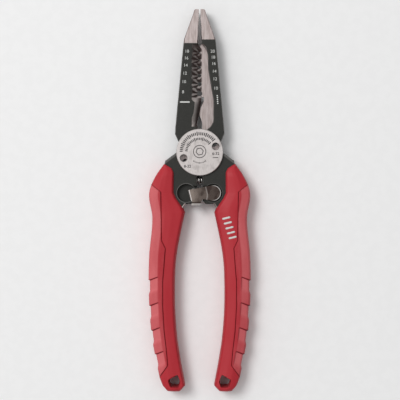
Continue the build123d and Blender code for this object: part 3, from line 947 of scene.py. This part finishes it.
        # Painted light and shade of each point, kept as an attribute for the strip's finish.
        shading_tone = self.shading_tone(inward, y, cut, lines)
        lip = round_trim(x - split, 0.4) * smooth_step(outer - split, 0.2, 1.2)
        x = x - self.rib_depth * cut * np.clip(1.0 - inward / self.rib_width, 0.0, 1.0)
        z = (z - lip) * (1.0 - self.rib_depth / s.half_thick * cut)
        z[:, -1] = 0.0
        fade = smooth_step(outer - split, 0.0, 1.0)
        under_z = z[:, :1] - (self.groove_depth - self.tongue_gap) * fade
        tongue_z = np.maximum(under_z - self.tongue_drop * fade, 0.0)
        tongue_x = split + (outer - split) * (self.tongue_share + 0.04)
        front_x = np.hstack([tongue_x, tongue_x, split, x])
        front_z = np.hstack([0 * tongue_x, tongue_z, np.maximum(under_z, 0.0), z])
        ring_x = np.hstack([front_x, front_x[:, -2:0:-1]])
        ring_z = np.hstack([front_z, -front_z[:, -2:0:-1]])
        front_shading = np.hstack([np.zeros((len(y), 3)), shading_tone])
        ring_shading = np.hstack([front_shading, front_shading[:, -2:0:-1]])
        points = self.place(ring_x, y, ring_z)
        faces = tube_faces(*ring_x.shape)
        return mesh_object(self.node("strip_moulding"), points, faces, shading_tone=ring_shading)

    def drill(self, core: Piece) -> None:
        """Cuts the lanyard hole, flared at both faces.

        The cutter's ring at each height is the hole's rounded outline, grown near the two faces by
        a quarter round.

        Args:
            core: The core to cut.
        """
        corners = np.array(LANYARD_CORNERS)
        middle = corners.mean(axis=0)
        ring = even_points(corners, 60, closed=True)
        for _ in range(3):
            ring = (np.roll(ring, 1, 0) + ring + np.roll(ring, -1, 0)) / 3
        half = self.surface.half_thick
        depth, width = self.flare
        heights = np.concatenate([[-half - 1], np.linspace(-half, -half + depth, 9),
                                  np.linspace(half - depth, half, 9), [half + 1]])
        grow = round_trim(half - np.abs(heights), depth) * width / depth
        out = (ring - middle) / np.linalg.norm(ring - middle, axis=1)[:, None]
        rings = ring[None] + grow[:, None, None] * out[None]
        levels = np.broadcast_to(heights[:, None], rings.shape[:2])
        points = self.place(rings[..., 0], rings[..., 1], levels)
        cutter = mesh_object("hole_cutter", points, tube_faces(len(heights), len(ring)))
        change = core.modifiers.new("hole", "BOOLEAN")
        change.operation = "DIFFERENCE"
        change.object = cutter
        change.solver = "EXACT"
        graph = bpy.context.evaluated_depsgraph_get()
        core.data = bpy.data.meshes.new_from_object(core.evaluated_get(graph))
        core.modifiers.clear()
        bpy.data.objects.remove(cutter)

    def build(self) -> None:
        """Makes both pieces, dresses them and puts them on their body."""
        core = self.core()
        self.drill(core)
        made = ((core, "core", self.core_finish), (self.strip(), "strip", self.strip_finish))
        for piece, part, finish in made:
            dress(piece, finish)
            piece.data.polygons.foreach_set("use_smooth", np.ones(len(piece.data.polygons), bool))
            piece.data.set_sharp_from_angle(angle=math.radians(self.sharp_angle))
            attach(piece, self.body.value)
            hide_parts(self.node(part))
            LOG.info("%s: %d faces", piece.name, len(piece.data.polygons))


# ---- Printing ----
def bar(centre: Pair, size: Pair, turn: float) -> Array:
    """Outline of a bar with round ends.

    Args:
        centre: Middle of the bar, in millimetres.
        size: Length and width.
        turn: Angle of its length from +X, in degrees.

    Returns:
        Array of outline points.
    """
    radius = size[1] / 2
    straight = size[0] / 2 - radius
    angles = np.radians(np.concatenate([np.linspace(-90, 90, 7), np.linspace(90, 270, 7)]))
    shift = np.where(np.arange(14) < 7, straight, -straight)
    x = np.cos(angles) * radius + shift
    y = np.sin(angles) * radius
    c, s = math.cos(math.radians(turn)), math.sin(math.radians(turn))
    return np.column_stack([centre[0] + c * x - s * y, centre[1] + s * x + c * y])


def ring_band(name: str, centre: Pair, size: Pair, sides: int, heights: Pair) -> Piece:
    """Makes a flat closed ring, round or with few sides: a rectangle carried round a centre.

    Args:
        name: Name of the piece.
        centre: Middle of the ring, in millimetres.
        size: Middle radius and width.
        sides: Number of sides.
        heights: Heights of the lower and the upper face.

    Returns:
        The ring.
    """
    angles = math.radians(12.0) + np.linspace(0.0, 2.0 * np.pi, sides, endpoint=False)
    circle = np.column_stack([np.cos(angles), np.sin(angles)])
    low, high = heights
    inside, outside = size[0] - size[1] / 2, size[0] + size[1] / 2
    corners = ((inside, low), (outside, low), (outside, high), (inside, high))
    rings = [np.column_stack([circle * radius + centre, np.full(sides, height)])
             for radius, height in corners]
    ring, side = np.meshgrid(np.arange(4), np.arange(sides), indexing="ij")
    next_ring, next_side = (ring + 1) % 4 * sides, (side + 1) % sides
    quads = np.stack([ring * sides + side, ring * sides + next_side,
                      next_ring + next_side, next_ring + side], axis=-1)
    return mesh_object(name, np.vstack(rings), quads.reshape(-1, 4).tolist(), smooth=False)


@dataclass(frozen=True)
class Scale:
    """An arc of graduations: radius, first and last angle, number, length and width of a mark."""

    radius: float
    first: float
    last: float
    count: int
    length: float
    width: float


SOLID_GAUGES = (("18", 60.6), ("16", 56.5), ("14", 52.2), ("12", 47.4), ("10", 42.3), ("8", 36.2))
STRAND_GAUGES = (("20", 60.6), ("18", 57.0), ("16", 53.2), ("14", 48.6), ("12", 44.0),
                 ("10", 38.4))
DISC_SCALES = (Scale(11.1, 41.0, 177.0, 25, 2.6, 0.66), Scale(8.0, 42.0, 174.0, 20, 2.2, 0.60),
               Scale(6.4, 236.0, 304.0, 11, 1.1, 0.38))


@dataclass
class Printing:
    """Gauge numbers and plain marks printed on the jaws, the disc and the right grip."""

    white: Material
    dark: Material
    film: float = 0.02
    grip_film: float = 0.08
    number_height: float = 1.85
    figure_share: float = 0.72    # height of a figure as a share of the font's size
    short_share: float = 0.72     # length of a short graduation as a share of a long one

    def plate(self, name: str, outline: Array, face: float) -> Piece:
        """Makes a film of an outline on a face at a height."""
        return plate_mesh(name, outline, face, face + self.film)

    def numbers(self, name: str, labels: Sequence[tuple[str, float, float]], top: float,
                height: float, bold: float = 0.0) -> Piece:
        """Makes a group of numbers as thin films.

        Args:
            name: Name of the piece.
            labels: Each number with the X and Y of its middle.
            top: Height of the face that they are printed on.
            height: Height of the figures.
            bold: How far their outlines are moved outwards, in millimetres.

        Returns:
            The piece.
        """
        pieces = []
        for words, x, y in labels:
            text = bpy.data.curves.new(name, "FONT")
            text.body = words
            text.size = height / self.figure_share
            text.align_x = "CENTER"
            text.align_y = "CENTER"
            text.extrude = self.film / 2
            text.offset = bold
            text.resolution_u = 3
            holder = linked(name, text)
            graph = bpy.context.evaluated_depsgraph_get()
            mesh = bpy.data.meshes.new_from_object(holder.evaluated_get(graph))
            bpy.data.objects.remove(holder)
            points = np.empty(len(mesh.vertices) * 3)
            mesh.vertices.foreach_get("co", points)
            points = points.reshape(-1, 3) + (x, y, top + self.film / 2)
            mesh.vertices.foreach_set("co", (points * MM).ravel())
            pieces.append(linked(name, mesh))
        return join_pieces(name, pieces)

    def finish(self, piece: Piece, ink: Material, body: Body, slot: str) -> None:
        """Dresses a printed piece and puts it on a body.

        Args:
            piece: The piece.
            ink: Its material.
            body: The body it moves with.
            slot: Material slot of the surface it is printed on. Not used.
        """
        dress(piece, ink)
        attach(piece, body.value)
        LOG.info("%s: %d faces", piece.name, len(piece.data.polygons))

    def jaws(self) -> None:
        """Prints both wire scales: gauge numbers beside the notches, and a mark for the wire."""
        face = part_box("front_half")[1].z / MM
        rows = (("solid_wire_numbers", SOLID_GAUGES, -7.6, -0.098, Body.FRONT),
                ("stranded_wire_numbers", STRAND_GAUGES, 7.8, 0.085, Body.REAR))
        for name, gauges, top_x, slope, body in rows:
            top_y = gauges[0][1]
            labels = [(words, top_x + (top_y - y) * slope, y) for words, y in gauges]
            numbers = self.numbers(name, labels, face, self.number_height)
            self.finish(numbers, self.white, body, "coated_steel")
        line = self.plate("solid_wire_mark", bar((-8.9, 30.2), (6.0, 0.8), 0.0), face)
        self.finish(line, self.white, Body.FRONT, "coated_steel")
        places = [(10.55 + 0.08 * k, 34.0 - 1.15 * k) for k in range(5)]
        dots = [self.plate("dot", bar(place, (0.85, 0.8), 0.0), face) for place in places]
        self.finish(join_pieces("stranded_wire_mark", dots), self.white, Body.REAR, "coated_steel")

    def disc(self) -> None:
        """Prints the disc: two arcs of graduations, a hexagon in a ring, and screw sizes."""
        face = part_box("cover_disc")[1].z / MM
        marks = []
        for scale in DISC_SCALES:
            for step, angle in enumerate(np.linspace(scale.first, scale.last, scale.count)):
                reach = scale.length * (1.0 if step % 5 == 0 else self.short_share)
                turn = math.radians(angle)
                centre = (scale.radius * math.cos(turn), scale.radius * math.sin(turn))
                marks.append(self.plate("tick", bar(centre, (reach, scale.width), angle), face))
        marks.append(self.plate("tick", bar((9.5, -3.2), (3.4, 0.45), 0.0), face))
        heights = (face, face + self.film)
        for size, sides in (((3.7, 0.45), 48), ((2.2, 0.55), 6)):
            marks.append(ring_band("band", (0.0, 0.4), size, sides, heights))
        sizes = [("8-32", -7.3, -8.5), ("6-32", 9.6, -0.9)]
        marks.append(self.numbers("sizes", sizes, face, 1.7, 0.05))
        self.finish(join_pieces("disc_marks", marks), self.dark, Body.FRONT, "disc_steel")

    def grip(self, grip: Grip) -> None:
        """Prints a plain mark of five short bars on a grip, laid on its surface.

        Args:
            grip: The right grip.
        """
        bars = []
        for step in range(5):
            outline = bar((15.9 + 0.95 * step, -39.4 - 2.9 * step), (5.0, 1.15), 14.0)
            middle = outline.mean(axis=0)
            shares = np.array([0.02, 0.35, 0.7, 1.0, 1.0])[:, None, None]
            lifts = np.array([1.0, 1.0, 1.0, 1.0, -1.0])[:, None] * self.grip_film
            rings = middle + (outline - middle) * shares
            x, y = rings[..., 0], rings[..., 1]
            _, rise = grip.surface.front(y, grip.surface.share_of(x, y))
            points = grip.place(x, y, rise + lifts)
            bars.append(mesh_object("bar", points, tube_faces(len(rings), len(outline))))
        self.finish(join_pieces("grip_mark", bars), self.white, Body.FRONT, "grip_core")


# ---- Return spring ----
@dataclass
class ReturnSpring:
    """Compression spring with closed ends, seated in a bore of each half."""

    finish: Material
    turns: float = 7.0
    wire: float = 0.45
    closing: float = 0.06
    slot_width: float = 3.6
    ring_points: int = 12
    steps_per_turn: int = 28

    def build(self) -> None:
        """Makes the spring: a circle carried along a helix that closes up at both ends.

        Its place along X goes with t - c sin(2 pi t) / (2 pi), where t goes from 0 to 1.
        """
        low, high = (np.array(corner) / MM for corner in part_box("return_spring"))
        radius = (high[1] - low[1]) / 2 - self.wire
        middle = (low + high) / 2
        t = np.linspace(0.0, 1.0, int(self.turns * self.steps_per_turn))
        closing = -self.closing * np.sin(2 * np.pi * t) / (2 * np.pi)
        along = low[0] + self.wire + (high[0] - low[0] - 2 * self.wire) * (t + closing)
        angle = 2 * np.pi * self.turns * t
        centre = np.column_stack([along, middle[1] + radius * np.cos(angle),
                                  middle[2] + radius * np.sin(angle)])
        tangent = np.gradient(centre, axis=0)
        tangent /= np.linalg.norm(tangent, axis=1)[:, None]
        outward = np.column_stack([0 * t, np.cos(angle), np.sin(angle)])
        side = np.cross(tangent, outward)
        around = np.linspace(0, 2 * np.pi, self.ring_points, endpoint=False)
        rings = (centre[:, None] + self.wire * (np.cos(around)[None, :, None] * outward[:, None]
                                                + np.sin(around)[None, :, None] * side[:, None]))
        piece = mesh_object("coil", rings.reshape(-1, 3), tube_faces(len(t), self.ring_points))
        dress(piece, self.finish)
        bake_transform(piece)
        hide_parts("return_spring")
        LOG.info("coil: %d faces", len(piece.data.polygons))


# ---- Finishes of the CAD nodes, and the studio ----
def dress_nodes() -> None:
    """Gives each shown CAD node its finish."""
    mid_z = sum(corner.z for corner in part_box("front_half")) / 2 / MM
    finishes = {
        "front_half": CoatedForging("front_forging", 65.6, mid_z),
        "rear_half": CoatedForging("rear_forging", 67.8, mid_z),
        "cover_disc": WorkedSteel("disc_steel", (0.58, 0.54, 0.525), (0.33, 0.30, 0.29), 0.44,
                                  lines=(1.0, 6.0, 1.0), line_size=0.35, pits=0.012, metal=0.7),
        "lock_lever": StampedLever("lever_steel", 4.2),
        "pivot_bolt": WorkedSteel("bolt_steel", (0.58, 0.56, 0.54), (0.42, 0.40, 0.38), 0.3),
        "pivot_nut": WorkedSteel("nut_steel", (0.50, 0.48, 0.46), (0.34, 0.32, 0.30), 0.34,
                                 pits=0.01),
        "nut_washer": WorkedSteel("washer_steel", (0.46, 0.44, 0.41), (0.30, 0.28, 0.26), 0.36),
        "disc_dowels": WorkedSteel("dowel_steel", (0.58, 0.56, 0.54), (0.42, 0.40, 0.38), 0.3),
        "lock_rivet": WorkedSteel("rivet_steel", (0.085, 0.066, 0.058), (0.05, 0.038, 0.033), 0.36,
                                  pits=0.01),
        "lock_washer": WorkedSteel("lock_washer_steel", (0.44, 0.42, 0.40), (0.3, 0.28, 0.26),
                                   0.36),
        "catch_pin": WorkedSteel("pin_steel", (0.40, 0.38, 0.36), (0.24, 0.22, 0.21), 0.34),
    }
    for node, finish in finishes.items():
        dress(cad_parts[node], finish.build())
        LOG.info("%s: %s", node, finish.name)


@dataclass
class Studio:
    """Pale floor, soft light from the upper left, and a camera straight above."""

    frame_height: float = 0.240
    lens: float = 100.0
    sensor: float = 36.0
    camera_x: float = 0.0002
    floor_half: float = 6000.0
    key_place: Triple = (-0.86, 0.58, 1.75)
    key_size: float = 0.80
    key_power: float = 20.5
    sky_toward: Triple = (-0.30, 0.25, 0.92)
    sky_range: Pair = (-0.1, 1.0)
    dim: float = 0.18
    bright: float = 0.74

    def floor(self) -> None:
        """Lays the floor at the level that the tool rests on."""
        level = SOLID_BOX[0][2] / MM
        signs = ((-1, -1), (1, -1), (1, 1), (-1, 1))
        points = np.array([(x * self.floor_half, y * self.floor_half, level) for x, y in signs])
        paper = mesh_object("floor", points, [(0, 1, 2, 3)], smooth=False)
        dress(paper, StudioFloor().build())

    def key_light(self, aim: Triple) -> None:
        """Adds a square soft light, turned to a point.

        Args:
            aim: The point, in metres.
        """
        light = bpy.data.lights.new("key", "AREA")
        light.shape = "SQUARE"
        light.size = self.key_size
        light.energy = self.key_power
        direction = np.array(aim) - np.array(self.key_place)
        holder = linked("key", light)
        holder.location = self.key_place
        holder.rotation_euler = (math.atan2(math.hypot(*direction[:2]), -direction[2]), 0.0,
                                 math.atan2(-direction[0], direction[1]))

    def sky(self) -> None:
        """Makes the world: white light that grows from dim to bright towards one direction."""
        world = bpy.data.worlds.new("studio")
        world.use_nodes = True
        tree = world.node_tree
        sky = tree.nodes["Background"]
        sky.inputs["Color"].default_value = (1.0, 1.0, 1.0, 1.0)
        direction = tree.nodes.new("ShaderNodeTexCoord")
        toward = tree.nodes.new("ShaderNodeVectorMath")
        toward.operation = "DOT_PRODUCT"
        toward.inputs[1].default_value = self.sky_toward
        strength = tree.nodes.new("ShaderNodeMapRange")
        keys = ("From Min", "From Max", "To Min", "To Max")
        for key, value in zip(keys, (*self.sky_range, self.dim, self.bright)):
            strength.inputs[key].default_value = value
        tree.links.new(direction.outputs["Generated"], toward.inputs[0])
        tree.links.new(toward.outputs["Value"], strength.inputs["Value"])
        tree.links.new(strength.outputs["Result"], sky.inputs["Strength"])
        bpy.context.scene.world = world

    def build(self) -> None:
        """Makes the floor, key light, world and camera."""
        self.floor()
        centre_y = (SOLID_BOX[0][1] + SOLID_BOX[1][1]) / 2
        self.key_light((0.0, centre_y, 0.0))
        self.sky()
        bpy.context.scene.view_settings.view_transform = "Standard"
        camera = bpy.data.cameras.new("camera")
        camera.lens = self.lens
        camera.sensor_width = self.sensor
        holder = linked("camera", camera)
        distance = self.frame_height * self.lens / self.sensor
        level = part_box("front_half")[1].z
        holder.location = (self.camera_x, centre_y, level + distance)
        bpy.context.scene.camera = holder


def main() -> None:
    """Builds the grips, spring, printing, finishes and studio in order."""
    logging.basicConfig(level=logging.INFO, format="%(message)s")
    core = MouldedPlastic("grip_core_plastic", (0.42, 0.022, 0.032), (0.48, 0.042, 0.052),
                          roughness=0.52, grain=0.32, grain_depth=0.018, sheen=0.02).build()
    # The strip's pale colour serves both its dust and its painted light.
    strip = MouldedPlastic("grip_strip_rubber", (0.40, 0.022, 0.032), (0.60, 0.128, 0.138),
                           roughness=0.62, grain=0.28, grain_depth=0.03, sheen=0.03,
                           painted_light_share=0.80).build()
    grips = {side: Grip(side, body, core, strip)
             for side, body in ((Side.LEFT, Body.REAR), (Side.RIGHT, Body.FRONT))}
    for grip in grips.values():
        grip.build()
    wire = WorkedSteel("spring_wire", (0.72, 0.70, 0.68), (0.45, 0.43, 0.41), 0.3).build()
    ReturnSpring(wire).build()
    printing = Printing(PrintInk("white_ink", (0.62, 0.62, 0.60), (0.30, 0.30, 0.29)).build(),
                        PrintInk("dark_ink", (0.035, 0.03, 0.03), (0.12, 0.11, 0.105)).build())
    printing.jaws()
    printing.disc()
    printing.grip(grips[Side.RIGHT])
    dress_nodes()
    Studio().build()


if __name__ == "__main__":
    main()
